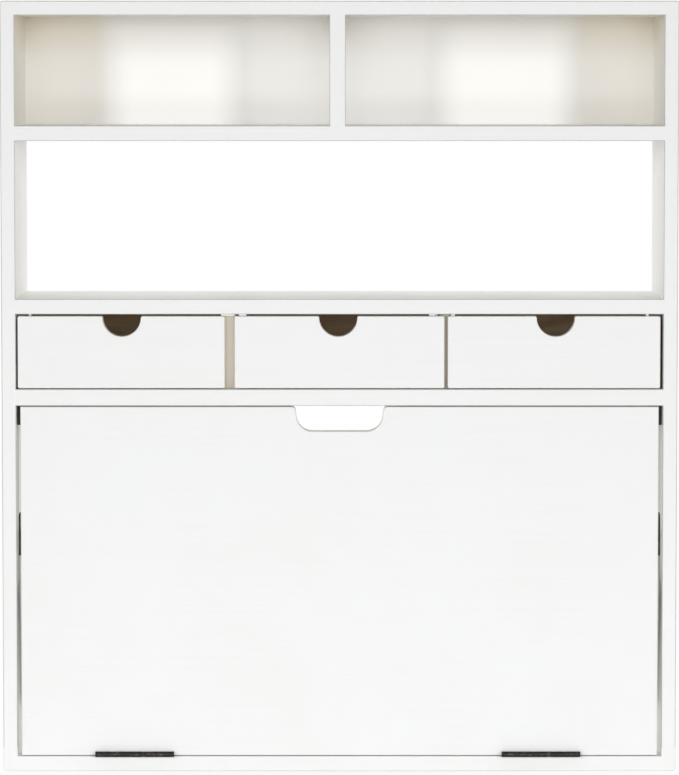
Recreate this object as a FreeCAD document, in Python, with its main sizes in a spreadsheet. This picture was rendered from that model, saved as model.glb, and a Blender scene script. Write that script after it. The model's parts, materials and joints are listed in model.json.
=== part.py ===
import FreeCAD, Part
import os
import re

import Sketcher

from FreeCAD import Placement, Rotation, Vector

# Wall-mounted secretary desk with a drop-down leaf, in millimetres.
# The origin lies on the wall plane, midway between the two wall screws.
# +X points to the right, +Y into the wall and +Z up, so the front faces -Y.

SIZES = {
    # case
    "overall_width": (711, "outside of the side boards"),
    "overall_height": (813, "underside of the bottom board to the top"),
    "case_depth": (150, "wall to the front edges"),
    "side_board": (15, "thickness"),
    "top_board": (15, "thickness"),
    "shelf_board": (16, "thickness of the two shelves above the drawers"),
    "leaf_shelf_board": (17.5, "thickness of the shelf between drawers and leaf"),
    "bottom_board": (16, "thickness"),
    "back_panel_board": (9, "thickness of the panel behind the top compartments"),
    "compartment_height": (115.5, "clear height of the two top compartments"),
    "bay_height": (166, "clear height of the open bay"),
    "drawer_bay_height": (79, "clear height of the drawer bay"),
    "divider_board": (17, "thickness of the upright between the top compartments"),
    "divider_shift": (-2, "centre of that upright from the middle of the case"),
    "corner_round": (3, "outside corners of the case"),
    "edge_round": (1.2, "outside front edges"),
    "rim_round": (1, "front edges around each opening"),
    # dowels and wall screws
    "dowel_radius": (4, "case joints"),
    "dowel_length": (30, "whole dowel"),
    "dowel_bite": (10, "length that stands in the side board"),
    "dowel_slack": (0.05, "radial room of a dowel in its hole"),
    "dowel_end_room": (0.5, "room at each end of a dowel"),
    "dowel_inset": (36, "dowel from the front and from the back edge"),
    "slim_dowel_radius": (3, "joints of the drawer dividers"),
    "slim_dowel_length": (18, "whole dowel"),
    "screw_spacing": (368, "between the two wall screws"),
    "screw_drop": (28, "wall screws below the top of the case"),
    "wall_hole_radius": (2.5, "blind holes for the wall screws"),
    "wall_hole_depth": (6.5, "blind holes, in from the back"),
    # drawers
    "drawer_divider": (12, "thickness of the uprights in the drawer bay"),
    "left_bay_width": (219, "left wall to the first drawer divider"),
    "right_bay_width": (222.4, "second drawer divider to the right wall"),
    "front_board": (12, "thickness of a drawer front"),
    "front_setback": (1.5, "drawer dividers behind the drawer fronts"),
    "front_top_gap": (2, "above a drawer front"),
    "front_bottom_gap": (1, "below a drawer front"),
    "front_left_gap": (2, "left wall to the left drawer front"),
    "front_right_gap": (3.1, "right drawer front to the right wall"),
    "left_lap": (0.9, "drawer fronts over the first divider"),
    "right_lap": (4.3, "drawer fronts over the second divider"),
    "front_round": (1, "edges of a drawer front and of the leaf"),
    "front_corner": (2, "corners of a drawer front"),
    "finger_radius": (20, "half-round finger cut-out"),
    "finger_drop": (1.4, "centre of the cut-out below the top edge"),
    "finger_corner": (2, "rounded corners where the cut-out meets the top edge"),
    "finger_shift_left": (0.6, "cut-out from the middle of the left front"),
    "finger_shift_middle": (-1.3, "cut-out from the middle of the middle front"),
    "finger_shift_right": (1.8, "cut-out from the middle of the right front"),
    "drawer_wall": (9, "thickness of drawer sides and back"),
    "drawer_wall_height": (72, "height of drawer sides and back"),
    "drawer_side_room": (2, "drawer side to the wall or divider beside it"),
    "drawer_slide_gap": (0.3, "drawer sides above the shelf they run on"),
    "drawer_back_room": (14, "behind a closed drawer"),
    "drawer_base": (4, "thickness of a drawer bottom"),
    "groove_lift": (5, "groove above the lower edge of a drawer side"),
    "groove_depth": (3.5, "how far the drawer bottom stands in its grooves"),
    "pad_length": (10, "glide pads above the drawer fronts, front to back"),
    "pad_height": (1.5, "glide pads"),
    "left_drawer_pad_start": (12.2, "left pad of the left drawer, in from the end of the front"),
    "left_drawer_pad_width": (2, "that pad, across"),
    "left_drawer_end_width": (4, "right pad of the left drawer over the front; it goes on to the next front"),
    "middle_drawer_pad_start": (4.9, "left pad of the middle drawer, in from the end of the front"),
    "middle_drawer_pad_width": (7.5, "that pad, across"),
    "middle_drawer_end_inset": (9.6, "right pad of the middle drawer, in from the end of the front"),
    "middle_drawer_end_width": (6.5, "that pad, across"),
    "right_drawer_pad_start": (3.7, "left pad of the right drawer, in from the end of the front"),
    "right_drawer_pad_width": (3.9, "that pad, across"),
    "right_drawer_end_inset": (12.3, "right pad of the right drawer, in from the end of the front"),
    "right_drawer_end_width": (3, "that pad, across"),
    # leaf
    "leaf_board": (15, "thickness of the leaf"),
    "leaf_side_gap": (4.5, "leaf to each side board"),
    "leaf_top_gap": (1, "leaf to the shelf above"),
    "leaf_bottom_gap": (1, "leaf to the bottom board"),
    "hand_width": (94, "hand cut-out at the top edge"),
    "hand_floor_width": (86, "hand cut-out at its floor"),
    "hand_depth": (26, "hand cut-out below the top edge"),
    "hand_floor_round": (17, "lower corners of the hand cut-out"),
    "hand_top_round": (4, "upper corners of the hand cut-out"),
    # butt hinges
    "hinge_width": (83, "length of the barrel"),
    "hinge_inset_left": (139, "centre of the left hinge from the left outside"),
    "hinge_inset_right": (142.5, "centre of the right hinge from the right outside"),
    "barrel_radius": (3, "outside of the knuckles"),
    "barrel_gap": (0.3, "barrel in front of the front face"),
    "axis_height": (2.6, "hinge axis above the bottom board"),
    "pin_radius": (1.5, "hinge pin"),
    "pin_room": (0.05, "radial running room of the pin"),
    "knuckle_gap": (0.3, "between knuckles, and round them"),
    "hinge_sheet": (1.2, "thickness of a hinge plate"),
    "fixed_sheet_drop": (1.8, "top of the fixed plate below the axis"),
    "moving_sheet_drop": (0.2, "top of the moving plate below the axis"),
    "hinge_reach": (13.5, "hinge plates behind the front face"),
    "hinge_screw_pitch": (27, "between neighbouring hinge screws"),
    "hinge_screw_reach": (8, "hinge screws behind the front face"),
    # small screws
    "head_radius": (2.8, "countersunk head"),
    "head_height": (1.2, "countersunk head"),
    "shank_radius": (1.4, "shank"),
    "shank_length": (10.5, "shank below the head"),
    "screw_slack": (0.05, "room round a screw in its hole"),
    # folding stays
    "stay_sheet": (1.5, "thickness of the side plate and the bracket"),
    "stay_plate_width": (16, "side plate, front to back"),
    "stay_plate_height": (45, "side plate"),
    "stay_plate_round": (3, "corners of the side plate"),
    "stay_pivot_depth": (23, "fixed pivot behind the leaf"),
    "stay_pivot_height": (232, "fixed pivot above the bottom board"),
    "stay_screw_pitch": (32, "between the screws of a side plate"),
    "bracket_distance": (175, "leaf pivot above the hinge axis"),
    "bracket_reach": (8, "leaf pivot behind the leaf"),
    "bracket_foot_width": (16, "bracket foot, across"),
    "bracket_foot_height": (36, "bracket foot"),
    "bracket_screw_pitch": (24, "between the screws of a bracket"),
    "upper_arm": (175, "fixed pivot to elbow"),
    "elbow_slack": (0.5, "both arms longer than the open span"),
    "arm_width": (14, "both arms"),
    "arm_sheet": (2, "thickness of both arms"),
    "upper_arm_offset": (4.8, "side board to the upper arm"),
    "lower_arm_offset": (7.2, "side board to the lower arm"),
    "bracket_offset": (9.6, "side board to the bracket"),
    "rivet_radius": (2.5, "shank of a rivet"),
    "rivet_head_radius": (4.5, "head of a rivet"),
    "rivet_head_height": (1.1, "head of a rivet"),
    "rivet_room": (0.06, "radial running room of an arm on its rivet"),
    "rivet_slack": (0.03, "radial room of a rivet where it is set fast"),
    "elbow_gap": (0.2, "elbow rivet to the lower arm"),
    # magnetic catches
    "catch_drop": (2, "catch below the shelf above the leaf"),
    "catch_height": (20, "catch housing"),
    "catch_side_room": (0.5, "side board to the block of the catch housing"),
    "catch_width": (12.5, "block of the catch housing, across"),
    "catch_depth": (24, "catch housing, front to back"),
    "catch_setback": (4, "catch housing behind the leaf"),
    "catch_flange": (2, "thickness of the screwed flange"),
    "catch_flange_length": (16, "flange behind the housing"),
    "catch_screw_pitch": (10, "between the screws of a catch"),
    "magnet_width": (8, "magnet, across"),
    "magnet_height": (16, "magnet"),
    "magnet_depth": (4, "part of the magnet that is in the housing"),
    "magnet_side_room": (3, "side board to the magnet"),
    "strike_sheet": (1.5, "thickness of the strike plate"),
    "strike_width": (15, "strike plate, across"),
    "strike_edge": (1, "strike plate from the end of the leaf"),
    "strike_gap": (0.4, "strike plate to the magnet"),
    "strike_screw_inset": (4.5, "strike screw from the inner end of the plate"),
}

# Places worked out from the sizes. Each is a formula that the document's objects are bound to.
PLACES = {
    "case_left": "(-overall_width / 2)",
    "case_right": "(overall_width / 2)",
    "left_wall": "(case_left + side_board)",
    "right_wall": "(case_right - side_board)",
    "inner_width": "(overall_width - 2 * side_board)",
    "front": "(-case_depth)",
    "case_bottom": "(screw_drop - overall_height)",
    "compartment_ceiling": "(screw_drop - top_board)",
    "compartment_floor": "(compartment_ceiling - compartment_height)",
    "bay_ceiling": "(compartment_floor - shelf_board)",
    "bay_floor": "(bay_ceiling - bay_height)",
    "drawer_ceiling": "(bay_floor - shelf_board)",
    "drawer_floor": "(drawer_ceiling - drawer_bay_height)",
    "leaf_ceiling": "(drawer_floor - leaf_shelf_board)",
    "leaf_floor": "(case_bottom + bottom_board)",
    "divider_left_face": "(divider_shift - divider_board / 2)",
    "divider_right_face": "(divider_shift + divider_board / 2)",
    "first_divider": "(left_wall + left_bay_width)",
    "second_divider": "(right_wall - right_bay_width - drawer_divider)",
    "leaf_width": "(inner_width - 2 * leaf_side_gap)",
    "leaf_bottom": "(leaf_floor + leaf_bottom_gap)",
    "leaf_top": "(leaf_ceiling - leaf_top_gap)",
    "leaf_back": "(front + leaf_board)",
    "axis_y": "(front - barrel_radius - barrel_gap)",
    "axis_z": "(leaf_floor + axis_height)",
    "pivot_y": "(leaf_back + stay_pivot_depth)",
    "pivot_z": "(leaf_floor + stay_pivot_height)",
    "bracket_y": "(leaf_back + bracket_reach)",
    "bracket_z": "(axis_z + bracket_distance)",
    # the stay: spans between its outer pivots with the leaf shut and open, and how the arms fold
    "shut_span": "sqrt((bracket_y - pivot_y)^2 + (bracket_z - pivot_z)^2)",
    "open_rise": "(axis_z + bracket_y - axis_y - pivot_z)",
    "open_span": "sqrt((axis_y - bracket_distance - pivot_y)^2 + open_rise^2)",
    "lower_arm": "(open_span - upper_arm + elbow_slack)",
    "span_angle": "atan2(bracket_z - pivot_z; bracket_y - pivot_y)",
    "upper_bend": "acos((upper_arm^2 + shut_span^2 - lower_arm^2) / (2 * upper_arm * shut_span))",
    "lower_bend": "acos((lower_arm^2 + shut_span^2 - upper_arm^2) / (2 * lower_arm * shut_span))",
    "upper_angle": "(span_angle + upper_bend)",
    "lower_angle": "(span_angle + 180 deg - lower_bend)",
}

TURNS = {
    "x": Rotation(Vector(0, 1, 0), 90),
    "-x": Rotation(Vector(0, 1, 0), -90),
    "y": Rotation(Vector(1, 0, 0), -90),
    "-y": Rotation(Vector(1, 0, 0), 90),
    "z": Rotation(),
    "-z": Rotation(Vector(1, 0, 0), 180),
}
WORD = re.compile(r"[a-z][a-z_]*")
NEAR = 0.01

doc = FreeCAD.newDocument("secretary_desk")
sheet = doc.addObject("Spreadsheet::Sheet", "sizes")
for row, (name, (value, note)) in enumerate(SIZES.items(), start=1):
    sheet.set(f"A{row}", name)
    sheet.set(f"B{row}", str(value))
    sheet.set(f"C{row}", note)
    sheet.setAlias(f"B{row}", name)
doc.recompute()

nodes = {}


# --- helpers ---


def expression(formula):
    """Swaps each named place for its formula and each size for its cell."""

    def swap(match):
        word = match.group(0)
        if word in PLACES:
            return expression(PLACES[word])
        return f"sizes.{word}" if word in SIZES else word

    return WORD.sub(swap, formula)


def bind(target, formulas):
    for path, formula in formulas.items():
        target.setExpression(path, expression(formula))
    return target


def at(x, y, z):
    return {"Placement.Base.x": x, "Placement.Base.y": y, "Placement.Base.z": z}


def keep(label, piece):
    """Names a finished sub-part, which is then written to its own file."""
    piece.Label = label
    nodes[label] = piece
    return piece


def box(name, x, y, z, width, depth, height):
    block = doc.addObject("Part::Box", name)
    return bind(block, {"Length": width, "Width": depth, "Height": height, **at(x, y, z)})


def cylinder(name, direction, x, y, z, radius, length):
    rod = doc.addObject("Part::Cylinder", name)
    rod.Placement = Placement(Vector(), TURNS[direction])
    return bind(rod, {"Radius": radius, "Height": length, **at(x, y, z)})


def cone(name, direction, x, y, z, first_radius, second_radius, length):
    taper = doc.addObject("Part::Cone", name)
    taper.Placement = Placement(Vector(), TURNS[direction])
    sizes = {"Radius1": first_radius, "Radius2": second_radius, "Height": length}
    return bind(taper, {**sizes, **at(x, y, z)})


def fuse(name, pieces):
    whole = doc.addObject("Part::MultiFuse", name)
    whole.Shapes = pieces
    return whole


def group(name, pieces):
    whole = doc.addObject("Part::Compound", name)
    whole.Links = pieces
    return whole


def cut(name, base, tools):
    """The base less every tool."""
    rest = doc.addObject("Part::Cut", name)
    rest.Base = base
    rest.Tool = tools[0] if len(tools) == 1 else fuse(f"{name}_tools", tools)
    return rest


def sketch_on(body, role, name):
    plane = next(f for f in body.Origin.OriginFeatures if f.Role == role)
    sketch = body.newObject("Sketcher::SketchObject", name)
    sketch.AttachmentSupport = [(plane, "")]
    sketch.MapMode = "FlatFace"
    return sketch


def named(sketch, name, formula, *constraint):
    """Adds a constraint with its own name and binds it to a formula."""
    index = sketch.addConstraint(Sketcher.Constraint(*constraint))
    sketch.renameConstraint(index, name)
    sketch.setExpression(f"Constraints.{name}", expression(formula))


def polygon(sketch, points):
    """Closed straight lines through the points, joined end to end. The first starts at index 0."""
    ends = points[1:] + points[:1]
    for start, end in zip(points, ends):
        sketch.addGeometry(Part.LineSegment(Vector(*start), Vector(*end)))
    for i in range(len(points)):
        after = (i + 1) % len(points)
        sketch.addConstraint(Sketcher.Constraint("Coincident", i, 2, after, 1))


def board(label, x, y, z, width, depth, height):
    """A rectangular board as a body: its footprint is sketched and padded upwards."""
    body = doc.addObject("PartDesign::Body", label)
    sketch = sketch_on(body, "XY_Plane", f"{label}_footprint")
    polygon(sketch, [(0, 0, 0), (40, 0, 0), (40, 30, 0), (0, 30, 0)])
    sketch.addConstraint(Sketcher.Constraint("Coincident", 0, 1, -1, 1))
    for line, kind in enumerate(("Horizontal", "Vertical", "Horizontal", "Vertical")):
        sketch.addConstraint(Sketcher.Constraint(kind, line))
    named(sketch, "width", width, "DistanceX", 0, 1, 0, 2, 40)
    named(sketch, "depth", depth, "DistanceY", 1, 1, 1, 2, 30)
    pad = body.newObject("PartDesign::Pad", f"{label}_pad")
    pad.Profile = sketch
    bind(pad, {"Length": height})
    bind(body, at(x, y, z))
    doc.recompute()
    return body


def round_edges(body, wanted, radius):
    """Rounds the edges of the body's last feature whose boxes pass the test."""
    last = body.Tip
    edges = enumerate(last.Shape.Edges, start=1)
    names = [f"Edge{i}" for i, edge in edges if wanted(edge.BoundBox, last.Shape.BoundBox)]
    fillet = body.newObject("PartDesign::Fillet", f"{body.Name}_round")
    fillet.Base = (last, names)
    bind(fillet, {"Radius": radius})
    body.Tip = fillet
    doc.recompute()
    return body


def on_front(edge, whole):
    return edge.YMax < whole.YMin + NEAR


def pocket(body, sketch):
    """Cuts the sketch through the whole thickness, whichever way the material lies."""
    before = body.Tip.Shape.Volume
    hole = body.newObject("PartDesign::Pocket", f"{sketch.Name}_cut")
    hole.Profile = sketch
    hole.Type = "ThroughAll"
    doc.recompute()
    if hole.Shape.Volume > before - NEAR:
        hole.Reversed = True
        doc.recompute()
    body.Tip = hole
    return hole


def screw(name, direction, x, y, z, slack="0"):
    """A countersunk screw, head first: its head starts at the point given. Slack makes it the hole."""
    step = {"x": (1, 0, 0), "-x": (-1, 0, 0), "y": (0, 1, 0), "-y": (0, -1, 0)}
    step.update({"z": (0, 0, 1), "-z": (0, 0, -1)})
    neck = [f"{p} + head_height * {s}" for p, s in zip((x, y, z), step[direction])]
    head = cone(f"{name}_head", direction, x, y, z,
                f"head_radius + {slack}", f"shank_radius + {slack}", "head_height")
    shank = cylinder(f"{name}_shank", direction, *neck,
                     f"shank_radius + {slack}", f"shank_length + {slack}")
    return fuse(name, [head, shank])


def screw_and_hole(name, direction, x, y, z):
    place = (direction, x, y, z)
    return screw(name, *place), screw(f"{name}_hole", *place, "screw_slack")


def rim(name, left, right, floor, ceiling):
    """The cutter that rounds the front rim of an opening: a flat block less four rods along its sides."""
    reach = "rim_round"
    block = box(f"{name}_block", f"{left} - {reach}", f"front - {reach}", f"{floor} - {reach}",
                f"{right} - {left} + 2 * {reach}", f"2 * {reach}",
                f"{ceiling} - {floor} + 2 * {reach}")
    wide = f"{right} - {left} + 4 * {reach}"
    tall = f"{ceiling} - {floor} + 4 * {reach}"
    rods = [
        cylinder(f"{name}_low", "x", f"{left} - 2 * {reach}", f"front + {reach}",
                 f"{floor} - {reach}", reach, wide),
        cylinder(f"{name}_high", "x", f"{left} - 2 * {reach}", f"front + {reach}",
                 f"{ceiling} + {reach}", reach, wide),
        cylinder(f"{name}_left", "z", f"{left} - {reach}", f"front + {reach}",
                 f"{floor} - 2 * {reach}", reach, tall),
        cylinder(f"{name}_right", "z", f"{right} + {reach}", f"front + {reach}",
                 f"{floor} - 2 * {reach}", reach, tall),
    ]
    return cut(name, block, rods)


# --- dowels in the case joints, with their holes ---

dowels = []
dowel_holes = []


def dowel(name, direction, x, y, z, radius, length):
    """A dowel and the longer, looser hole that it stands in."""
    back = [f"{p} - dowel_end_room * {s}" for p, s in zip((x, y, z), {"x": (1, 0, 0), "z": (0, 0, 1)}[direction])]
    dowels.append(cylinder(name, direction, x, y, z, radius, length))
    dowel_holes.append(cylinder(f"{name}_hole", direction, *back, f"{radius} + dowel_slack",
                                f"{length} + 2 * dowel_end_room"))


dowel_depths = ("front + dowel_inset", "-dowel_inset")
levels = {
    "top": "compartment_ceiling + top_board / 2",
    "upper_shelf": "bay_ceiling + shelf_board / 2",
    "drawer_shelf": "drawer_ceiling + shelf_board / 2",
    "leaf_shelf": "leaf_ceiling + leaf_shelf_board / 2",
    "bottom": "case_bottom + bottom_board / 2",
}
for level, height in levels.items():
    for i, depth in enumerate(dowel_depths):
        dowel(f"dowel_{level}_left_{i}", "x", "left_wall - dowel_bite", depth, height,
              "dowel_radius", "dowel_length")
        dowel(f"dowel_{level}_right_{i}", "x", "right_wall + dowel_bite - dowel_length", depth, height,
              "dowel_radius", "dowel_length")
uprights = {
    "compartment": ("divider_shift", "compartment_floor", "compartment_ceiling", "slim_dowel_length / 2"),
    "first": ("first_divider + drawer_divider / 2", "drawer_floor", "drawer_ceiling", "slim_dowel_length / 2"),
    "second": ("second_divider + drawer_divider / 2", "drawer_floor", "drawer_ceiling", "slim_dowel_length / 2"),
}
for upright, (middle, foot, head, bite) in uprights.items():
    for i, depth in enumerate(dowel_depths):
        for end, height in (("foot", foot), ("head", head)):
            dowel(f"dowel_{upright}_{end}_{i}", "z", middle, depth, f"{height} - {bite}",
                  "slim_dowel_radius", "slim_dowel_length")

# --- rims of the openings ---

rims = [
    rim("left_compartment_rim", "left_wall", "divider_left_face", "compartment_floor", "compartment_ceiling"),
    rim("right_compartment_rim", "divider_right_face", "right_wall", "compartment_floor", "compartment_ceiling"),
    rim("bay_rim", "left_wall", "right_wall", "bay_floor", "bay_ceiling"),
    rim("drawer_bay_rim", "left_wall", "right_wall", "drawer_floor", "drawer_ceiling"),
    rim("leaf_bay_rim", "left_wall", "right_wall", "leaf_floor", "leaf_ceiling"),
]

# --- hinges, stays and catches: screws first, because the boards need their holes ---

case_screws = []
leaf_screws = []
case_screw_holes = []
leaf_screw_holes = []


def case_screw(name, direction, x, y, z):
    fastener, hole = screw_and_hole(name, direction, x, y, z)
    case_screws.append(fastener)
    case_screw_holes.append(hole)


def leaf_screw(name, direction, x, y, z):
    fastener, hole = screw_and_hole(name, direction, x, y, z)
    leaf_screws.append(fastener)
    leaf_screw_holes.append(hole)


def inward(side, offset, width="0"):
    """The low-X face of something that lies offset in from the side board and is that wide."""
    return f"left_wall + {offset}" if side == "left" else f"right_wall - ({offset}) - ({width})"


OUTWARD = {"left": "-x", "right": "x"}
INWARD = {"left": "x", "right": "-x"}
HINGE_CENTRES = {
    "left": "case_left + hinge_inset_left",
    "right": "case_right - hinge_inset_right",
}

for side in ("left", "right"):
    for i in (-1, 0, 1):
        across = f"{HINGE_CENTRES[side]} + {i} * hinge_screw_pitch"
        deep = "front + hinge_screw_reach"
        case_screw(f"hinge_{side}_case_screw_{i + 2}", "-z", across, deep, "axis_z - fixed_sheet_drop")
        leaf_screw(f"hinge_{side}_leaf_screw_{i + 2}", "z", across, deep,
                   "axis_z - moving_sheet_drop - hinge_sheet")
    for i in (-1, 1):
        case_screw(f"stay_{side}_case_screw_{i + 2}", OUTWARD[side], inward(side, "stay_sheet"), "pivot_y",
                   f"pivot_z + {i} * stay_screw_pitch / 2")
        leaf_screw(f"stay_{side}_leaf_screw_{i + 2}", "-y",
                   inward(side, "bracket_offset + bracket_foot_width / 2 + stay_sheet / 2"),
                   "leaf_back + stay_sheet", f"bracket_z + {i} * bracket_screw_pitch / 2")
        case_screw(f"catch_{side}_screw_{i + 2}", OUTWARD[side], inward(side, "catch_flange"),
                   "leaf_back + catch_setback + catch_depth + catch_flange_length / 2",
                   f"leaf_ceiling - catch_drop - catch_height / 2 + {i} * catch_screw_pitch / 2")
    leaf_screw(f"strike_{side}_screw", "-y",
               inward(side, "leaf_side_gap + strike_edge + strike_width - strike_screw_inset"),
               "leaf_back + strike_sheet", "leaf_ceiling - catch_drop - catch_height / 2")

# mortises that let the hinge plates into the bottom board and the leaf
board_mortises = []
leaf_mortises = []
for side, middle in HINGE_CENTRES.items():
    start = f"{middle} - hinge_width / 2 - knuckle_gap"
    length = "hinge_width + 2 * knuckle_gap"
    board_mortises.append(box(f"hinge_{side}_board_mortise", start, "front - barrel_gap",
                              "axis_z - fixed_sheet_drop - hinge_sheet", length,
                              "hinge_reach + barrel_gap + knuckle_gap", "2 * hinge_sheet"))
    leaf_mortises.append(box(f"hinge_{side}_leaf_mortise", start, "front - barrel_gap",
                             "axis_z - moving_sheet_drop - 3 * hinge_sheet", length,
                             "hinge_reach + barrel_gap + knuckle_gap", "3 * hinge_sheet"))

# --- case boards ---

for side, place in (("left", "case_left"), ("right", "right_wall")):
    body = board(f"side_{side}_blank", place, "front", "case_bottom",
                 "side_board", "case_depth", "overall_height")

    def outer_corner(edge, whole, left=(side == "left")):
        outside = edge.XMax < whole.XMin + NEAR if left else edge.XMin > whole.XMax - NEAR
        return outside and edge.YLength > whole.YLength - NEAR

    def outer_front(edge, whole, left=(side == "left")):
        inside = edge.XMin > whole.XMax - NEAR if left else edge.XMax < whole.XMin + NEAR
        return on_front(edge, whole) and not inside

    round_edges(body, outer_corner, "corner_round")
    round_edges(body, outer_front, "edge_round")
    keep(f"side_{side}", cut(f"side_{side}", body, rims + dowel_holes + case_screw_holes))

top = board("top_board_blank", "left_wall", "front", "compartment_ceiling",
            "inner_width", "case_depth", "top_board")
round_edges(top, lambda edge, whole: on_front(edge, whole) and edge.ZMin > whole.ZMax - NEAR, "edge_round")
keep("top_board", cut("top_board", top, rims + dowel_holes))

shelves = {
    "upper_shelf": ("bay_ceiling", "shelf_board"),
    "drawer_shelf": ("drawer_ceiling", "shelf_board"),
    "leaf_shelf": ("leaf_ceiling", "leaf_shelf_board"),
}
for label, (height, thickness) in shelves.items():
    body = board(f"{label}_blank", "left_wall", "front", height, "inner_width", "case_depth", thickness)
    keep(label, cut(label, body, rims + dowel_holes))

bottom = board("bottom_board_blank", "left_wall", "front", "case_bottom",
               "inner_width", "case_depth", "bottom_board")
round_edges(bottom, lambda edge, whole: on_front(edge, whole) and edge.ZMax < whole.ZMin + NEAR, "edge_round")
keep("bottom_board", cut("bottom_board", bottom, rims + dowel_holes + board_mortises + case_screw_holes))

divider = board("compartment_divider_blank", "divider_left_face", "front", "compartment_floor",
                "divider_board", "case_depth - back_panel_board", "compartment_height")
keep("compartment_divider", cut("compartment_divider", divider, rims + dowel_holes))

for label, place in (("drawer_divider_left", "first_divider"), ("drawer_divider_right", "second_divider")):
    body = board(f"{label}_blank", place, "front + front_board + front_setback", "drawer_floor",
                 "drawer_divider", "case_depth - front_board - front_setback", "drawer_bay_height")
    keep(label, cut(label, body, dowel_holes))

panel = board("back_panel_blank", "left_wall", "-back_panel_board", "compartment_floor",
              "inner_width", "back_panel_board", "compartment_height")
wall_holes = [
    cylinder(f"wall_hole_{name}", "y", f"{sign} * screw_spacing / 2", "-wall_hole_depth", "0",
             "wall_hole_radius", "2 * wall_hole_depth")
    for name, sign in (("left", -1), ("right", 1))
]
keep("back_panel", cut("back_panel", panel, wall_holes))
keep("case_dowels", group("case_dowels", dowels))

# --- drawers ---

drawers = {
    "left": ("left_wall", "first_divider",
             "left_wall + front_left_gap", "first_divider + left_lap"),
    "middle": ("first_divider + drawer_divider", "second_divider",
               "first_divider + drawer_divider - left_lap", "second_divider + right_lap"),
    "right": ("second_divider + drawer_divider", "right_wall",
              "second_divider + drawer_divider - right_lap", "right_wall - front_right_gap"),
}
pad_gap = "(drawer_divider - 2 * left_lap)"
pad_ends = {
    "left": ("left_drawer_pad_start", "left_drawer_pad_width",
             f"(-{pad_gap})", f"(left_drawer_end_width + {pad_gap})"),
    "middle": ("middle_drawer_pad_start", "middle_drawer_pad_width",
               "middle_drawer_end_inset", "middle_drawer_end_width"),
    "right": ("right_drawer_pad_start", "right_drawer_pad_width",
              "right_drawer_end_inset", "right_drawer_end_width"),
}
pads = []
for name, (bay_left, bay_right, front_left, front_right) in drawers.items():
    width = f"{front_right} - ({front_left})"
    height = "drawer_bay_height - front_top_gap - front_bottom_gap"
    face = board(f"drawer_{name}_front_blank", front_left, "front", "drawer_floor + front_bottom_gap",
                 width, "front_board", height)
    finger = sketch_on(face, "XZ_Plane", f"drawer_{name}_finger")
    finger.addGeometry(Part.Circle(Vector(60, 70, 0), Vector(0, 0, 1), 20))
    named(finger, "radius", "finger_radius", "Radius", 0, 20)
    named(finger, "across", f"({width}) / 2 + finger_shift_{name}", "DistanceX", -1, 1, 0, 3, 60)
    named(finger, "up", f"{height} - finger_drop", "DistanceY", -1, 1, 0, 3, 70)
    pocket(face, finger)

    def finger_corner_edge(edge, whole):
        inside = edge.XMin > whole.XMin + NEAR and edge.XMax < whole.XMax - NEAR
        return inside and edge.ZMin > whole.ZMax - NEAR and edge.YLength > whole.YLength - NEAR

    def front_corner_edge(edge, whole):
        outside = edge.XMax < whole.XMin + NEAR or edge.XMin > whole.XMax - NEAR
        return outside and edge.YLength > whole.YLength - NEAR and edge.ZLength < NEAR

    round_edges(face, finger_corner_edge, "finger_corner")
    round_edges(face, front_corner_edge, "front_corner")
    round_edges(face, on_front, "front_round")

    box_left = f"{bay_left} + drawer_side_room"
    box_right = f"{bay_right} - drawer_side_room"
    box_front = "front + front_board"
    box_floor = "drawer_floor + drawer_slide_gap"
    box_length = "case_depth - front_board - drawer_back_room"
    inner_left = f"{box_left} + drawer_wall"
    inner_span = f"{box_right} - ({box_left}) - 2 * drawer_wall"
    base = (f"{inner_left} - groove_depth", f"{box_front} - groove_depth", f"{box_floor} + groove_lift",
            f"{inner_span} + 2 * groove_depth", f"{box_length} - drawer_wall + 2 * groove_depth", "drawer_base")
    groove = box(f"drawer_{name}_groove", *base)
    keep(f"drawer_{name}_front", cut(f"drawer_{name}_front", face, [groove]))
    keep(f"drawer_{name}_bottom", box(f"drawer_{name}_bottom", *base))
    for label, place in (("side_left", box_left), ("side_right", f"{box_right} - drawer_wall")):
        wall = box(f"drawer_{name}_{label}_blank", place, box_front, box_floor,
                   "drawer_wall", box_length, "drawer_wall_height")
        keep(f"drawer_{name}_{label}", cut(f"drawer_{name}_{label}", wall, [groove]))
    rear = box(f"drawer_{name}_back_blank", inner_left, f"-drawer_back_room - drawer_wall", box_floor,
               inner_span, "drawer_wall", "drawer_wall_height")
    keep(f"drawer_{name}_back", cut(f"drawer_{name}_back", rear, [groove]))

    start, start_width, end, end_width = pad_ends[name]
    for label, place, across in (("left", f"{front_left} + {start}", start_width),
                                 ("right", f"{front_right} - {end} - {end_width}", end_width)):
        pads.append(box(f"glide_pad_{name}_{label}", place, "front + 2 * rim_round",
                        "drawer_ceiling - pad_height", across, "pad_length", "pad_height"))
keep("drawer_glide_pads", group("drawer_glide_pads", pads))

# --- leaf ---

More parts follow.
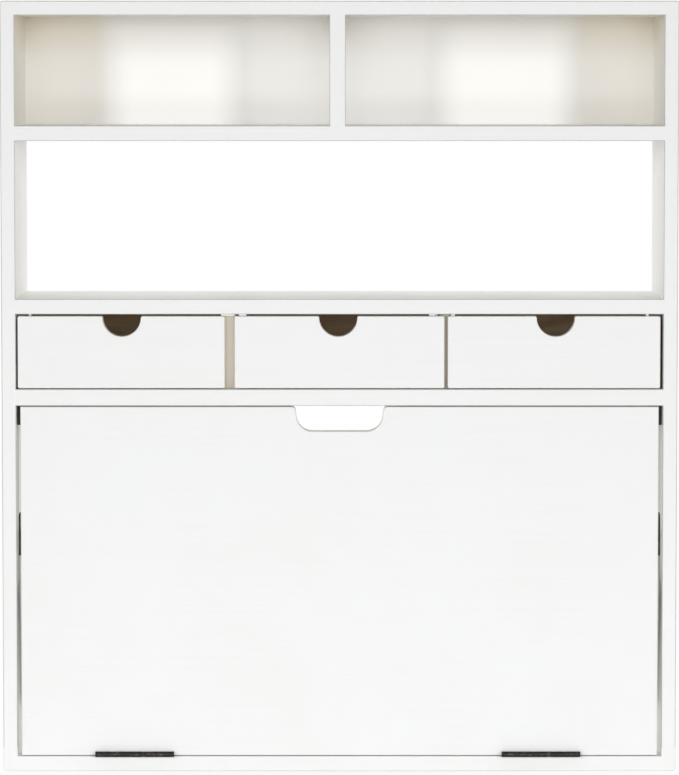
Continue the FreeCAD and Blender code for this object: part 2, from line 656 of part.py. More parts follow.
leaf = board("desk_leaf_blank", "left_wall + leaf_side_gap", "front", "leaf_bottom",
             "leaf_width", "leaf_board", "leaf_top - leaf_bottom")
hand = sketch_on(leaf, "XZ_Plane", "hand_cut_out")
polygon(hand, [(290, 340, 0), (380, 340, 0), (385, 400, 0), (285, 400, 0)])
hand.addConstraint(Sketcher.Constraint("Horizontal", 0))
hand.addConstraint(Sketcher.Constraint("Horizontal", 2))
leaf_rise = "(leaf_top - leaf_bottom)"
hand_flare = "(hand_width - hand_floor_width) / 2 / hand_depth * hand_top_round"
named(hand, "floor_start", "leaf_width / 2 - hand_floor_width / 2", "DistanceX", -1, 1, 0, 1, 290)
named(hand, "floor_width", "hand_floor_width", "DistanceX", 0, 1, 0, 2, 90)
named(hand, "floor_height", f"{leaf_rise} - hand_depth", "DistanceY", -1, 1, 0, 1, 340)
named(hand, "mouth_start", f"leaf_width / 2 - hand_width / 2 - {hand_flare}", "DistanceX", -1, 1, 2, 2, 285)
named(hand, "mouth_width", f"hand_width + 2 * {hand_flare}", "DistanceX", 2, 2, 2, 1, 100)
named(hand, "mouth_height", f"{leaf_rise} + hand_top_round", "DistanceY", -1, 1, 2, 2, 400)
pocket(leaf, hand)


def hand_edges(edge, whole, floor):
    across = edge.YLength > whole.YLength - NEAR
    inside = edge.XMin > whole.XMin + NEAR and edge.XMax < whole.XMax - NEAR
    high = edge.ZMin > whole.ZMax - NEAR
    return across and inside and high != floor


round_edges(leaf, lambda edge, whole: hand_edges(edge, whole, True), "hand_floor_round")
round_edges(leaf, lambda edge, whole: hand_edges(edge, whole, False), "hand_top_round")
round_edges(leaf, on_front, "front_round")
keep("desk_leaf", cut("desk_leaf", leaf, leaf_mortises + leaf_screw_holes))

# --- butt hinges ---

KNUCKLES = 5
for side, middle in HINGE_CENTRES.items():
    start = f"({middle} - hinge_width / 2)"
    pitch = f"(hinge_width + knuckle_gap) / {KNUCKLES}"
    bore = cylinder(f"hinge_{side}_bore", "x", f"{start} - 1", "axis_y", "axis_z",
                    "pin_radius + pin_room", "hinge_width + 2")
    places = [f"{start} + {i} * {pitch}" for i in range(KNUCKLES)]
    knuckle_length = f"{pitch} - knuckle_gap"
    plates = {
        "case": (range(0, KNUCKLES, 2), "axis_z - fixed_sheet_drop - hinge_sheet", case_screw_holes),
        "leaf": (range(1, KNUCKLES, 2), "axis_z - moving_sheet_drop - hinge_sheet", leaf_screw_holes),
    }
    for owner, (own, height, holes) in plates.items():
        label = f"hinge_{side}_{owner}_plate"
        others = [i for i in range(KNUCKLES) if i not in own]
        pieces = [box(f"{label}_sheet", start, "front + knuckle_gap", height,
                      "hinge_width", "hinge_reach - knuckle_gap", "hinge_sheet")]
        for i in own:
            pieces.append(cylinder(f"{label}_knuckle_{i}", "x", places[i], "axis_y", "axis_z",
                                   "barrel_radius", knuckle_length))
            pieces.append(box(f"{label}_root_{i}", places[i], "axis_y", height, knuckle_length,
                              "front + 2 * knuckle_gap - axis_y", "hinge_sheet"))
        keep(label, cut(label, fuse(f"{label}_blank", pieces), [bore] + holes))
    pin = cylinder(f"hinge_{side}_pin", "x", start, "axis_y", "axis_z", "pin_radius", "hinge_width")
    keep(f"hinge_{side}_pin", pin)

# --- folding stays ---


def rivet(name, parts):
    """Cylinders and tapered heads on one line, given as (direction, x, y, z, radius, far radius, length)."""
    return fuse(name, [cone(f"{name}_{i}", *part) if part[4] != part[5] else
                       cylinder(f"{name}_{i}", *part[:5], part[6]) for i, part in enumerate(parts)])


def arm(label, length, run_at_start, run_at_end):
    """A flat bar with round ends. It starts at the origin and runs along +Y before it is turned."""
    half = "arm_width / 2"
    blank = fuse(f"{label}_blank", [
        box(f"{label}_bar", "0", "0", f"-{half}", "arm_sheet", length, "arm_width"),
        cylinder(f"{label}_start", "x", "0", "0", "0", half, "arm_sheet"),
        cylinder(f"{label}_end", "x", "0", length, "0", half, "arm_sheet"),
    ])
    return cut(label, blank, [
        cylinder(f"{label}_start_hole", "x", "-arm_sheet", "0", "0", run_at_start, "3 * arm_sheet"),
        cylinder(f"{label}_end_hole", "x", "-arm_sheet", length, "0", run_at_end, "3 * arm_sheet"),
    ])


def turned(piece, x, y, z, angle):
    """Stands a piece that was made along +Y at a pivot and turns it about X."""
    piece.Placement = Placement(Vector(), Rotation(Vector(1, 0, 0), 30))
    return bind(piece, {**at(x, y, z), "Placement.Rotation.Angle": angle})


loose = "rivet_radius + rivet_room"
fast = "rivet_radius + rivet_slack"
for side in ("left", "right"):
    name = f"stay_{side}"
    out, back = INWARD[side], OUTWARD[side]
    sign = "1" if side == "left" else "-1"
    wall = "left_wall" if side == "left" else "right_wall"

    plate = board(f"{name}_side_plate_blank", inward(side, "0", "stay_sheet"),
                  "pivot_y - stay_plate_width / 2", "pivot_z - stay_plate_height / 2",
                  "stay_sheet", "stay_plate_width", "stay_plate_height")
    round_edges(plate, lambda edge, whole: edge.XLength > whole.XLength - NEAR, "stay_plate_round")
    pivot_hole = cylinder(f"{name}_pivot_hole", out, wall, "pivot_y", "pivot_z", fast, "2 * stay_sheet")
    keep(f"{name}_side_plate", cut(f"{name}_side_plate", plate, [pivot_hole] + case_screw_holes))
    keep(f"{name}_pivot_rivet", rivet(f"{name}_pivot_rivet", [
        (out, wall, "pivot_y", "pivot_z", "rivet_radius", "rivet_radius",
         "upper_arm_offset + arm_sheet + rivet_slack"),
        (out, f"{wall} + {sign} * (stay_sheet + rivet_slack)", "pivot_y", "pivot_z",
         "rivet_head_radius", "rivet_head_radius", "upper_arm_offset - stay_sheet - 2 * rivet_slack"),
        (out, f"{wall} + {sign} * (upper_arm_offset + arm_sheet + rivet_slack)", "pivot_y", "pivot_z",
         "rivet_head_radius", "rivet_radius", "rivet_head_height")]))

    upper = arm(f"{name}_upper_arm", "upper_arm", loose, fast)
    turned(upper, inward(side, "upper_arm_offset", "arm_sheet"), "pivot_y", "pivot_z", "upper_angle")
    keep(f"{name}_upper_arm", upper)
    elbow = rivet(f"{name}_elbow_rivet", [
        (back, f"{sign} * 0", "upper_arm", "0", "rivet_head_radius", "rivet_radius", "rivet_head_height"),
        (out, f"{sign} * 0", "upper_arm", "0", "rivet_radius", "rivet_radius",
         "lower_arm_offset - elbow_gap - upper_arm_offset")])
    turned(elbow, f"{wall} + {sign} * upper_arm_offset", "pivot_y", "pivot_z", "upper_angle")
    keep(f"{name}_elbow_rivet", elbow)

    lower = arm(f"{name}_lower_arm", "lower_arm", loose, fast)
    turned(lower, inward(side, "lower_arm_offset", "arm_sheet"), "bracket_y", "bracket_z", "lower_angle")
    keep(f"{name}_lower_arm", lower)
    cap = rivet(f"{name}_elbow_cap", [
        (out, f"{sign} * 0", "lower_arm", "0", "rivet_radius", "rivet_radius", "arm_sheet"),
        (out, f"{sign} * arm_sheet", "lower_arm", "0", "rivet_head_radius", "rivet_radius",
         "rivet_head_height")])
    turned(cap, f"{wall} + {sign} * lower_arm_offset", "bracket_y", "bracket_z", "lower_angle")
    keep(f"{name}_elbow_cap", cap)

    foot = box(f"{name}_bracket_foot", inward(side, "bracket_offset", "bracket_foot_width"), "leaf_back",
               "bracket_z - bracket_foot_height / 2", "bracket_foot_width", "stay_sheet", "bracket_foot_height")
    ear = box(f"{name}_bracket_ear", inward(side, "bracket_offset", "stay_sheet"), "leaf_back",
              "bracket_z - arm_width / 2", "stay_sheet", "bracket_reach", "arm_width")
    end = cylinder(f"{name}_bracket_end", "x", inward(side, "bracket_offset", "stay_sheet"), "bracket_y",
                   "bracket_z", "arm_width / 2", "stay_sheet")
    ear_hole = cylinder(f"{name}_bracket_hole", out, f"{wall} + {sign} * bracket_offset / 2", "bracket_y",
                        "bracket_z", fast, "bracket_offset")
    blank = fuse(f"{name}_bracket_blank", [foot, ear, end])
    keep(f"{name}_bracket", cut(f"{name}_bracket", blank, [ear_hole] + leaf_screw_holes))
    shoulder = "(lower_arm_offset - rivet_slack)"
    keep(f"{name}_bracket_rivet", rivet(f"{name}_bracket_rivet", [
        (out, f"{wall} + {sign} * {shoulder}", "bracket_y", "bracket_z", "rivet_radius", "rivet_radius",
         f"bracket_offset + stay_sheet - {shoulder}"),
        (back, f"{wall} + {sign} * {shoulder}", "bracket_y", "bracket_z", "rivet_head_radius",
         "rivet_radius", "rivet_head_height"),
        (out, f"{wall} + {sign} * (bracket_offset + stay_sheet)", "bracket_y", "bracket_z",
         "rivet_head_radius", "rivet_radius", "rivet_head_height")]))

# --- magnetic catches ---

for side in ("left", "right"):
    name = f"catch_{side}"
    floor = "leaf_ceiling - catch_drop - catch_height"
    housing = fuse(f"{name}_housing_blank", [
        box(f"{name}_block", inward(side, "catch_side_room", "catch_width"), "leaf_back + catch_setback", floor,
            "catch_width", "catch_depth", "catch_height"),
        box(f"{name}_flange", inward(side, "0", "catch_flange"), "leaf_back + catch_setback + catch_depth", floor,
            "catch_flange", "catch_flange_length", "catch_height"),
    ])
    magnet_place = (inward(side, "magnet_side_room", "magnet_width"),
                    "leaf_back + strike_sheet + strike_gap",
                    f"{floor} + (catch_height - magnet_height) / 2",
                    "magnet_width",
                    "catch_setback + magnet_depth - strike_sheet - strike_gap",
                    "magnet_height")
    seat = box(f"{name}_seat", *magnet_place)
    keep(f"{name}_housing", cut(f"{name}_housing", housing, [seat] + case_screw_holes))
    keep(f"{name}_magnet", box(f"{name}_magnet", *magnet_place))
    strike = box(f"{name}_strike_blank", inward(side, "leaf_side_gap + strike_edge", "strike_width"),
                 "leaf_back", f"{floor} + (catch_height - magnet_height) / 2",
                 "strike_width", "strike_sheet", "magnet_height")
    keep(f"{name}_strike", cut(f"{name}_strike", strike, leaf_screw_holes))

keep("case_screws", group("case_screws", case_screws))
keep("leaf_screws", group("leaf_screws", leaf_screws))

# --- check and write ---

doc.recompute()
for item in doc.Objects:
    if "Invalid" in item.State or "Error" in item.State:
        raise RuntimeError(f"{item.Label} could not be worked out: {item.State}")
os.makedirs("parts", exist_ok=True)
for label, piece in nodes.items():
    shape = piece.Shape
    if shape.isNull() or not shape.isValid() or not shape.Solids:
        raise RuntimeError(f"{label} has no sound solid")
    shape.exportStep(f"parts/{label}.step")
    print(f"{label}: {len(shape.Solids)} solid(s), {shape.Volume / 1000:.2f} cm3")
print(f"{len(nodes)} sub-parts")
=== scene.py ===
import json
import math

import bpy
import numpy as np
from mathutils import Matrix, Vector


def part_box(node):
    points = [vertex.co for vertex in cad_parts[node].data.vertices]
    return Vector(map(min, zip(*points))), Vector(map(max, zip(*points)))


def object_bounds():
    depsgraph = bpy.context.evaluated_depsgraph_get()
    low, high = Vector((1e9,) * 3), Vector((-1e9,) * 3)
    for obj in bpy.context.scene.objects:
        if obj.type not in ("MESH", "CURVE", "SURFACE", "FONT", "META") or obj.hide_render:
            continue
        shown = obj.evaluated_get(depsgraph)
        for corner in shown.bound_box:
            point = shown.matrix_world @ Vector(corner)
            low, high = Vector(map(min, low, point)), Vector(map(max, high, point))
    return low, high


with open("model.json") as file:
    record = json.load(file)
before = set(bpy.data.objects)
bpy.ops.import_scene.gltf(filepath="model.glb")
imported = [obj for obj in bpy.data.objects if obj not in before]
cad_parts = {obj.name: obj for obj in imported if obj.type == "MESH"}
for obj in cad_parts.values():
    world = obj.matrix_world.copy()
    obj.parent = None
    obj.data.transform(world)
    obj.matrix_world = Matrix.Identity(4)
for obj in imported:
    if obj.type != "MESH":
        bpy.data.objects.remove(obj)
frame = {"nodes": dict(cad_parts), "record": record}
bounds_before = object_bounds()
nodes = frame["nodes"]
scene = bpy.context.scene


# --- places on the desk, in metres ---

MM = 0.001
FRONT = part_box("side_left")[0].y
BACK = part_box("back_panel")[0].y
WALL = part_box("side_right")[0].x
GAP_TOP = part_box("drawer_shelf")[0].z
GAP_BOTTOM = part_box("bottom_board")[1].z
COMPARTMENT_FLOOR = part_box("upper_shelf")[1].z
COMPARTMENT_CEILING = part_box("top_board")[0].z
STAY_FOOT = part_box("stay_left_side_plate")[0].z


# --- node helpers ---


def connect(tree, value, socket):
    """Gives a socket a value, or links another node's output to it."""
    if isinstance(value, bpy.types.NodeSocket):
        tree.links.new(value, socket)
    else:
        socket.default_value = value


def add(tree, kind, inputs=(), **settings):
    """Makes a shader node. Inputs maps a socket name or number to a value or to another node's output."""
    node = tree.nodes.new(kind)
    for key, value in settings.items():
        setattr(node, key, value)
    for key, value in dict(inputs).items():
        connect(tree, value, node.inputs[key])
    return node


def line(tree, value, low, high, to_low=0.0, to_high=1.0, ease="LINEAR"):
    """Value from low to high becomes to_low to to_high, and stays there beyond the ends."""
    ends = {"Value": value, "From Min": low, "From Max": high, "To Min": to_low, "To Max": to_high}
    return add(tree, "ShaderNodeMapRange", ends, interpolation_type=ease).outputs["Result"]


def ramp(tree, value, low, high, to_low=0.0, to_high=1.0):
    """The same with a smooth ease at both ends. With low above high it falls as the value grows."""
    return line(tree, value, low, high, to_low, to_high, "SMOOTHSTEP")


def mix(tree, factor, first, second):
    """Mixes two colours."""
    return add(tree, "ShaderNodeMix", {0: factor, 6: first, 7: second}, data_type="RGBA").outputs[2]


def choose(tree, factor, first, second):
    """Mixes two numbers."""
    return add(tree, "ShaderNodeMix", {0: factor, 2: first, 3: second}, data_type="FLOAT").outputs[0]


def calculate(tree, operation, first, second=0.0):
    return add(tree, "ShaderNodeMath", {0: first, 1: second}, operation=operation).outputs[0]


def product(tree, first, *others):
    """All the values multiplied together."""
    for other in others:
        first = calculate(tree, "MULTIPLY", first, other)
    return first


def blend(tree, first, first_share, second, second_share):
    """Two values added, each in its own share."""
    return calculate(tree, "ADD", product(tree, first, first_share), product(tree, second, second_share))


def noise(tree, where, scale=1.0, detail=2.0, roughness=0.5):
    return add(tree, "ShaderNodeTexNoise", {"Vector": where, "Scale": scale, "Detail": detail,
                                            "Roughness": roughness}).outputs["Fac"]


def stretched(tree, where, x, y, z, shift=0.0):
    """Object coordinates in metres, multiplied along each axis."""
    return add(tree, "ShaderNodeMapping", {"Vector": where, "Location": (shift, shift, shift),
                                           "Scale": (x, y, z)}).outputs["Vector"]


def coordinates(tree, kind="Object"):
    return tree.nodes.new("ShaderNodeTexCoord").outputs[kind]


def axes(tree, vector):
    """The X, Y and Z of a vector."""
    return add(tree, "ShaderNodeSeparateXYZ", {"Vector": vector}).outputs


def size_of(tree, value):
    return calculate(tree, "ABSOLUTE", value)


def new_group(name, *outputs):
    """An empty node group with the given number outputs."""
    tree = bpy.data.node_groups.new(name, "ShaderNodeTree")
    for output in outputs:
        tree.interface.new_socket(output, in_out="OUTPUT", socket_type="NodeSocketFloat")
    return tree


def put_out(tree, **values):
    """Links each value to the group's output of that name."""
    end = tree.nodes.new("NodeGroupOutput")
    for name, value in values.items():
        tree.links.new(value, end.inputs[name])


def new_material(name):
    material = bpy.data.materials.new(name)
    material.use_nodes = True
    tree = material.node_tree
    tree.nodes.clear()
    output = tree.nodes.new("ShaderNodeOutputMaterial")
    shader = tree.nodes.new("ShaderNodeBsdfPrincipled")
    tree.links.new(shader.outputs["BSDF"], output.inputs["Surface"])
    return material, tree, shader


def bump(tree, height, strength, distance):
    return add(tree, "ShaderNodeBump", {"Height": height, "Strength": strength,
                                        "Distance": distance}).outputs["Normal"]


def grey(level):
    return (level, level, level, 1.0)


# --- effects shared by the painted boards ---


def brushed_paint():
    """Faint streaks along each board, soft clouds, fine specks, a rough height, and a darker line on the
    rounded edges that is painted shade and partly worn paint.
    """
    tree = new_group("brushed_paint", "Streaks", "Clouds", "Height", "Specks", "Edge")
    place = coordinates(tree)
    position = axes(tree, place)
    along, deep, across = 3, 60, 420
    level_streaks = noise(tree, stretched(tree, place, along, deep, across), 1.0, 3.0, 0.55)
    upright_streaks = noise(tree, stretched(tree, place, across, deep, along, 4.0), 1.0, 3.0, 0.55)
    on_side = ramp(tree, size_of(tree, position["X"]), WALL - 0.5 * MM, WALL + 0.5 * MM)
    streaks = choose(tree, on_side, level_streaks, upright_streaks)
    clouds = noise(tree, place, 7.0, 3.0, 0.6)
    orange_peel = noise(tree, place, 900.0)
    facing = size_of(tree, axes(tree, coordinates(tree, "Normal"))["Y"])
    # Painted shade: a darker line on the rounded edges stands in for the edges turning away from the light;
    # partly worn paint.
    rounded = product(tree, ramp(tree, facing, 0.03, 0.25), ramp(tree, facing, 0.995, 0.93))
    off_bottom = ramp(tree, position["Z"], GAP_BOTTOM + 6 * MM, GAP_BOTTOM + 12 * MM)
    put_out(tree, Streaks=streaks, Clouds=clouds,
            Height=blend(tree, streaks, 1.6, orange_peel, 1.0),
            Specks=ramp(tree, noise(tree, place, 260.0, 1.0, 0.4), 0.70, 0.78),
            Edge=product(tree, rounded, line(tree, clouds, 0.3, 0.7, 0.7, 1.0), off_bottom))
    return tree


def paint_inside():
    """Where the paint lies back from the front; painted shade in the narrow gaps and deep in the leaf's side
    gaps; and in the compartments, painted warm shade at the outer ends and under the ceiling and painted
    light in the middle, next to the divider."""
    tree = new_group("paint_inside", "Inside", "Gap", "Deep", "Yellow", "Fresh")
    position = axes(tree, coordinates(tree))
    depth, height = position["Y"], position["Z"]
    across = size_of(tree, position["X"])
    # Past this depth the paint takes the lighter, warmer inside colour, painted fill and bounce light.
    inside = ramp(tree, depth, FRONT + 1 * MM, FRONT + 6 * MM)

    not_facing_back = ramp(tree, axes(tree, coordinates(tree, "Normal"))["Y"], 0.6, 0.3)
    below_bay = product(tree, ramp(tree, height, GAP_TOP + 1 * MM, GAP_TOP - 1 * MM),
                        ramp(tree, across, WALL + 1.5 * MM, WALL - 0.5 * MM),
                        ramp(tree, height, GAP_BOTTOM + 4 * MM, GAP_BOTTOM + 10 * MM), not_facing_back)
    on_wall = ramp(tree, across, WALL - 1.5 * MM, WALL - 0.5 * MM)
    # Painted shade: cream-brown in the narrow gaps between and behind the fronts.
    gap = product(tree, inside, ramp(tree, depth, FRONT + 30 * MM, FRONT + 22 * MM), below_bay,
                  calculate(tree, "SUBTRACT", 1.0, on_wall))

    # Painted shade: a dark band on the walls deep in the leaf's side gaps, reaching deeper on the right.
    right_side_is_deeper = ramp(tree, position["X"], -0.1, 0.1, 0.0, 14 * MM)
    shade_depth = calculate(tree, "SUBTRACT", depth, right_side_is_deeper)
    deep = product(tree, ramp(tree, shade_depth, FRONT + 8 * MM, FRONT + 16 * MM),
                   ramp(tree, shade_depth, FRONT + 42 * MM, FRONT + 30 * MM), below_bay, on_wall,
                   ramp(tree, height, STAY_FOOT - 40 * MM, STAY_FOOT))

    compartments = product(tree, ramp(tree, height, COMPARTMENT_FLOOR - 1 * MM, COMPARTMENT_FLOOR + 1 * MM),
                           ramp(tree, height, COMPARTMENT_CEILING + 3 * MM, COMPARTMENT_CEILING + 1 * MM),
                           ramp(tree, across, WALL + 3 * MM, WALL + 1 * MM),
                           ramp(tree, depth, BACK + 3 * MM, BACK + 1 * MM))
    # Painted shade: warmer, darker paint at the outer ends of the compartments and under their ceiling.
    outer_end = ramp(tree, across, 0.245, 0.270)
    under_ceiling = ramp(tree, height, COMPARTMENT_CEILING - 50 * MM, COMPARTMENT_CEILING - 4 * MM)
    ceiling_share = line(tree, outer_end, 0.0, 1.0, 0.15, 0.45)
    yellow = blend(tree, outer_end, 0.22, under_ceiling, ceiling_share)
    # Painted light: lighter paint in the compartments' middle, next to the divider.
    middle = ramp(tree, across, 0.105, 0.085)
    put_out(tree, Inside=inside, Gap=gap, Deep=deep, Yellow=product(tree, yellow, compartments),
            Fresh=product(tree, middle, compartments))
    return tree


BRUSHED_PAINT = brushed_paint()
PAINT_INSIDE = paint_inside()


# --- finishes ---

FRESH_PAINT = (0.960, 0.952, 0.930, 1)
YELLOWED_PAINT = (0.860, 0.790, 0.650, 1)
CREAM_PAINT = (0.800, 0.735, 0.610, 1)
SHADED_PAINT = (0.460, 0.430, 0.375, 1)


def paint(name, coat, thin, warm, edge, edge_share, cream_share, roughness):
    """White paint on wood. Thin is where the coat is thin. Inside the openings the paint turns to a lighter,
    warmer colour, painted fill light. On the rounded edges lies a line of another colour, painted shade and
    partly worn paint. Cream lies in the narrow gaps as painted shade."""
    material, tree, shader = new_material(name)
    brushed = add(tree, "ShaderNodeGroup", node_tree=BRUSHED_PAINT).outputs
    place = add(tree, "ShaderNodeGroup", node_tree=PAINT_INSIDE).outputs
    thickness = blend(tree, brushed["Streaks"], 0.4, brushed["Clouds"], 0.6)
    colour = mix(tree, ramp(tree, thickness, 0.38, 0.62), thin, coat)
    colour = mix(tree, product(tree, brushed["Specks"], 0.35), colour, thin)
    # Painted light in the compartments' middle, next to the divider.
    inner = mix(tree, place["Fresh"], warm, FRESH_PAINT)
    # Painted shade at the compartments' outer ends and under their ceiling.
    inner = mix(tree, place["Yellow"], inner, YELLOWED_PAINT)
    # Painted fill light: a lighter, warmer colour inside the openings.
    colour = mix(tree, place["Inside"], colour, inner)
    # Painted shade in the narrow gaps.
    colour = mix(tree, product(tree, place["Gap"], cream_share), colour, CREAM_PAINT)
    # Painted shade deep in the leaf's side gaps.
    colour = mix(tree, product(tree, place["Deep"], 0.8), colour, SHADED_PAINT)
    # Painted shade on the rounded edges, partly worn paint.
    colour = mix(tree, product(tree, brushed["Edge"], edge_share), colour, edge)
    connect(tree, colour, shader.inputs["Base Color"])
    connect(tree, line(tree, brushed["Clouds"], 0.3, 0.7, roughness - 0.06, roughness + 0.08),
            shader.inputs["Roughness"])
    shader.inputs["Specular IOR Level"].default_value = 0.35
    connect(tree, bump(tree, brushed["Height"], 0.25, 0.1 * MM), shader.inputs["Normal"])
    return material


def wood(name, dark, light, roughness, scale=1.0, shift=0.0):
    """Bare wood with grain along X: bent rings, fine fibres and short dark pores."""
    material, tree, shader = new_material(name)
    place = coordinates(tree)
    bend = noise(tree, stretched(tree, place, 2.0, 9.0, 9.0, shift), scale)
    sideways = add(tree, "ShaderNodeCombineXYZ", {"Y": product(tree, bend, 4.0)}).outputs["Vector"]
    bent = add(tree, "ShaderNodeVectorMath", {0: stretched(tree, place, 1.2, 40.0, 60.0, shift), 1: sideways},
               operation="ADD").outputs["Vector"]
    rings = add(tree, "ShaderNodeTexWave", {"Vector": bent, "Scale": 0.8 * scale, "Distortion": 2.0,
                                            "Detail": 3.0, "Detail Scale": 1.4},
                bands_direction="Y").outputs["Fac"]
    fibres = noise(tree, stretched(tree, place, 14.0, 900.0, 900.0, shift), 1.0, 2.0, 0.6)
    pores = ramp(tree, noise(tree, stretched(tree, place, 60.0, 1500.0, 1500.0, shift), 1.0, 1.0), 0.66, 0.74)
    grain = blend(tree, rings, 0.55, fibres, 0.45)
    pore_colour = tuple(0.5 * part for part in dark[:3]) + (1.0,)
    colour = mix(tree, ramp(tree, grain, 0.2, 0.8), dark, light)
    colour = mix(tree, product(tree, pores, 0.5), colour, pore_colour)
    connect(tree, colour, shader.inputs["Base Color"])
    connect(tree, line(tree, fibres, 0.3, 0.7, roughness - 0.08, roughness + 0.1), shader.inputs["Roughness"])
    connect(tree, bump(tree, calculate(tree, "SUBTRACT", fibres, pores), 0.35, 0.2 * MM),
            shader.inputs["Normal"])
    return material


def steel(name, colour, worn, roughness, metallic):
    """Darkened steel: uneven finish, fine scratches and lighter rubbed spots."""
    material, tree, shader = new_material(name)
    place = coordinates(tree)
    clouds = noise(tree, place, 160.0, 3.0, 0.6)
    scratches = noise(tree, stretched(tree, place, 60.0, 2200.0, 2200.0), 1.0, 2.0, 0.6)
    rubbed = ramp(tree, blend(tree, clouds, 0.7, scratches, 0.3), 0.52, 0.66)
    connect(tree, mix(tree, rubbed, colour, worn), shader.inputs["Base Color"])
    shader.inputs["Metallic"].default_value = metallic
    connect(tree, line(tree, clouds, 0.3, 0.7, roughness + 0.1, roughness - 0.08), shader.inputs["Roughness"])
    connect(tree, bump(tree, scratches, 0.2, 0.05 * MM), shader.inputs["Normal"])
    return material


def plastic(name, colour, tint, roughness):
    """Moulded plastic with a fine even texture and faint flow marks."""
    material, tree, shader = new_material(name)
    place = coordinates(tree)
    flow = noise(tree, stretched(tree, place, 90.0, 90.0, 30.0))
    texture = noise(tree, place, 3500.0, 1.0)
    connect(tree, mix(tree, ramp(tree, flow, 0.35, 0.65), colour, tint), shader.inputs["Base Color"])
    connect(tree, line(tree, flow, 0.3, 0.7, roughness - 0.05, roughness + 0.07), shader.inputs["Roughness"])
    connect(tree, bump(tree, texture, 0.3, 0.04 * MM), shader.inputs["Normal"])
    return material


WHITE = (0.852, 0.862, 0.857, 1)
THIN_WHITE = (0.838, 0.844, 0.832, 1)
CREAM_EDGE = (0.780, 0.730, 0.640, 1)

FINISHES = {
    "white_paint": paint("white_paint", WHITE, THIN_WHITE, warm=(0.930, 0.918, 0.890, 1),
                         edge=(0.450, 0.440, 0.420, 1), edge_share=0.85, cream_share=0.85, roughness=0.42),
    "front_paint": paint("front_paint", WHITE, THIN_WHITE, warm=(0.905, 0.899, 0.880, 1),
                         edge=CREAM_EDGE, edge_share=0.55, cream_share=0.40, roughness=0.42),
    "back_paint": paint("back_paint", (0.915, 0.910, 0.893, 1), (0.900, 0.889, 0.862, 1),
                        warm=(0.918, 0.912, 0.893, 1), edge=CREAM_EDGE, edge_share=0.3, cream_share=0.85,
                        roughness=0.50),
    "bare_wood": wood("bare_wood", (0.525, 0.357, 0.198, 1), (0.695, 0.515, 0.312, 1), 0.60),
    "dowel_wood": wood("dowel_wood", (0.42, 0.29, 0.16, 1), (0.62, 0.46, 0.28, 1), 0.65, 1.6, 3.0),
    "hinge_steel": steel("hinge_steel", (0.030, 0.028, 0.026, 1), (0.120, 0.112, 0.100, 1), 0.45, 0.7),
    "stay_steel": steel("stay_steel", (0.016, 0.016, 0.017, 1), (0.060, 0.060, 0.062, 1), 0.42, 0.4),
    "rivet_steel": steel("rivet_steel", (0.075, 0.073, 0.070, 1), (0.240, 0.235, 0.225, 1), 0.34, 0.9),
    "screw_steel": steel("screw_steel", (0.060, 0.058, 0.055, 1), (0.220, 0.215, 0.205, 1), 0.34, 0.9),
    "catch_plastic": plastic("catch_plastic", (0.014, 0.014, 0.015, 1), (0.026, 0.026, 0.027, 1), 0.48),
    "magnet": steel("magnet", (0.045, 0.043, 0.042, 1), (0.110, 0.105, 0.100, 1), 0.50, 0.5),
    "strike_steel": steel("strike_steel", (0.160, 0.158, 0.152, 1), (0.380, 0.375, 0.360, 1), 0.34, 1.0),
    "glide_plastic": plastic("glide_plastic", (0.80, 0.80, 0.78, 1), (0.86, 0.86, 0.845, 1), 0.40),
}


def finish_of(part):
    """The drawer fronts and the leaf have their own paint. Every other piece has its slot's finish."""
    is_front = part["node"] == "desk_leaf" or part["node"].endswith("_front")
    return FINISHES["front_paint" if is_front else part["material_slot"]]


for part in frame["record"]["subparts"]:
    mesh = nodes[part["node"]].data
    mesh.materials.clear()
    mesh.materials.append(finish_of(part))


# --- floor, light and camera ---

FLOOR_HEIGHT = bounds_before[0].z - 1 * MM
FLOOR_RADIUS = 2.0
FLOOR_SEEN = (0.28, 0.95)
FLOOR_LIT = (0.95, 1.9)


def floor_mesh(rings=4, steps=72):
    """A flat disc: x is the radius times the cosine of the angle, y the radius times its sine, and z the
    floor's height. The angle goes round in even steps, and the radius grows in even rings from one point
    at the centre."""
    radius = FLOOR_RADIUS * np.arange(1, rings + 1)[:, None] / rings
    angle = 2 * np.pi * np.arange(steps)[None, :] / steps
    height = np.full((rings, steps), FLOOR_HEIGHT)
    around = np.stack((radius * np.cos(angle), radius * np.sin(angle), height), -1)
    points = np.vstack(([[0.0, 0.0, FLOOR_HEIGHT]], around.reshape(-1, 3)))
    inner = 1 + np.arange(rings * steps).reshape(rings, steps)
    after = np.roll(inner, -1, axis=1)
    centre_fan = np.stack((np.zeros(steps, int), inner[0], after[0]), -1)
    bands = np.stack((inner[:-1], inner[1:], after[1:], after[:-1]), -1).reshape(-1, 4)
    mesh = bpy.data.meshes.new("studio_floor")
    mesh.from_pydata(points.tolist(), [], centre_fan.tolist() + bands.tolist())
    mesh.update()
    return mesh


def floor_finish():
    """Pale matt floor that fades out towards its rim, sooner to the lens than to the light."""
    material, tree, shader = new_material("studio_floor")
    place = coordinates(tree)
    clouds = noise(tree, place, 1.5, 3.0)
    pale = mix(tree, ramp(tree, clouds, 0.3, 0.7), grey(0.92), grey(0.95))
    connect(tree, pale, shader.inputs["Base Color"])
    shader.inputs["Roughness"].default_value = 0.8
    distance = add(tree, "ShaderNodeVectorMath", {0: place}, operation="LENGTH").outputs["Value"]
    seen = ramp(tree, distance, *FLOOR_SEEN, 1.0, 0.0)
    lit = ramp(tree, distance, *FLOOR_LIT, 1.0, 0.0)
    camera_ray = add(tree, "ShaderNodeLightPath").outputs["Is Camera Ray"]
    connect(tree, line(tree, camera_ray, 0.0, 1.0, lit, seen), shader.inputs["Alpha"])
    return material


def studio_floor():
    mesh = floor_mesh()
    mesh.materials.append(floor_finish())
    disc = bpy.data.objects.new("studio_floor", mesh)
    scene.collection.objects.link(disc)


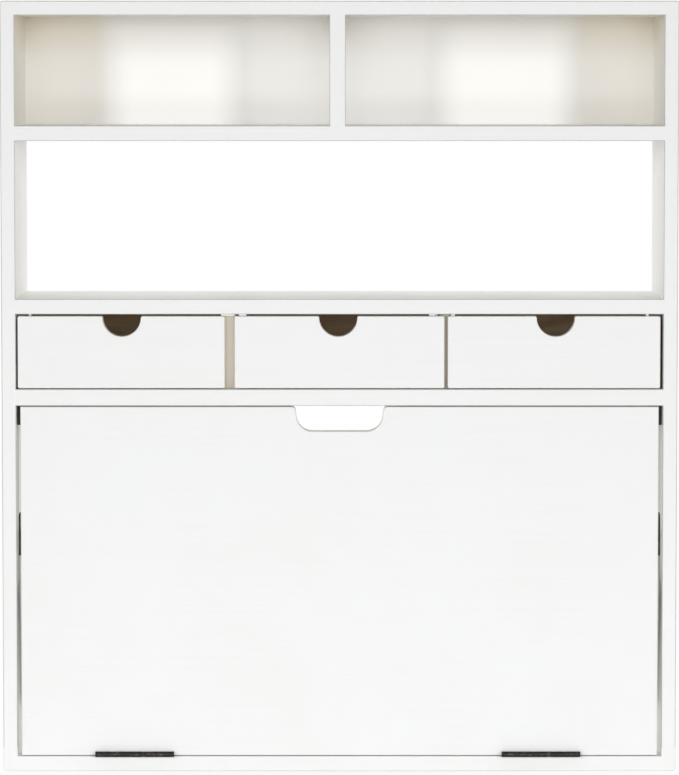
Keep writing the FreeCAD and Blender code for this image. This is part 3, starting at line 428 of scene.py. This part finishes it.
def surroundings(front, behind, backdrop):
    """A pale world: one lighting level in front of the desk, another behind it. The lens sees an even
    backdrop."""
    world = bpy.data.worlds.new("studio")
    scene.world = world
    world.use_nodes = True
    tree = world.node_tree
    tree.nodes.clear()
    depth = axes(tree, coordinates(tree, "Generated"))["Y"]
    light = ramp(tree, depth, -0.3, 0.3, front, behind)
    camera_ray = add(tree, "ShaderNodeLightPath").outputs["Is Camera Ray"]
    strength = line(tree, camera_ray, 0.0, 1.0, light, backdrop)
    shader = add(tree, "ShaderNodeBackground", {"Color": grey(1.0), "Strength": strength})
    output = tree.nodes.new("ShaderNodeOutputWorld")
    tree.links.new(shader.outputs[0], output.inputs["Surface"])


def softbox(name, place, aim, width, height, watts):
    """A rectangular light at a place, turned towards a point. The lens doesn't see it."""
    data = bpy.data.lights.new(name, "AREA")
    data.shape = "RECTANGLE"
    data.size, data.size_y = width, height
    data.energy = watts
    lamp = bpy.data.objects.new(name, data)
    lamp.location = place
    lamp.rotation_euler = (Vector(aim) - Vector(place)).to_track_quat("-Z", "Y").to_euler()
    lamp.visible_camera = False
    scene.collection.objects.link(lamp)


def studio_light():
    """Two tall lights from the upper sides, a wide one from the front and a low one for the leaf."""
    middle = (0.0, -0.075, -0.3785)
    upper_half = (0.0, -0.075, -0.15)
    foot = (0.0, 0.0, -0.70)
    for name, side in (("left_softbox", -1), ("right_softbox", 1)):
        softbox(name, (side * 2.9, -3.9, 0.58), upper_half, 0.70, 1.5, 65)
    softbox("front_softbox", (0.0, -4.4, 0.10), middle, 2.4, 0.8, 33.5)
    softbox("low_softbox", (0.0, -2.5, -0.55), foot, 2.2, 0.36, 7.8)


def camera(place, tilt, lens, shift):
    """A camera straight in front of the desk, tilted down by a few degrees."""
    data = bpy.data.cameras.new("camera")
    data.sensor_fit = "AUTO"
    data.sensor_width = 36.0
    data.lens = lens
    data.shift_y = shift
    data.clip_start, data.clip_end = 0.05, 60.0
    stand = bpy.data.objects.new("camera", data)
    stand.location = place
    stand.rotation_euler = (math.radians(90.0 - tilt), 0.0, 0.0)
    scene.collection.objects.link(stand)
    scene.camera = stand


studio_floor()
surroundings(front=0.14, behind=1.0, backdrop=1.0)
studio_light()
camera(place=(0.0, -4.050, -0.0547), tilt=3.42, lens=172.75, shift=-0.11)

scene.view_settings.view_transform = "Standard"
scene.view_settings.look = "None"
scene.view_settings.exposure = 0.0
scene.view_settings.gamma = 1.0
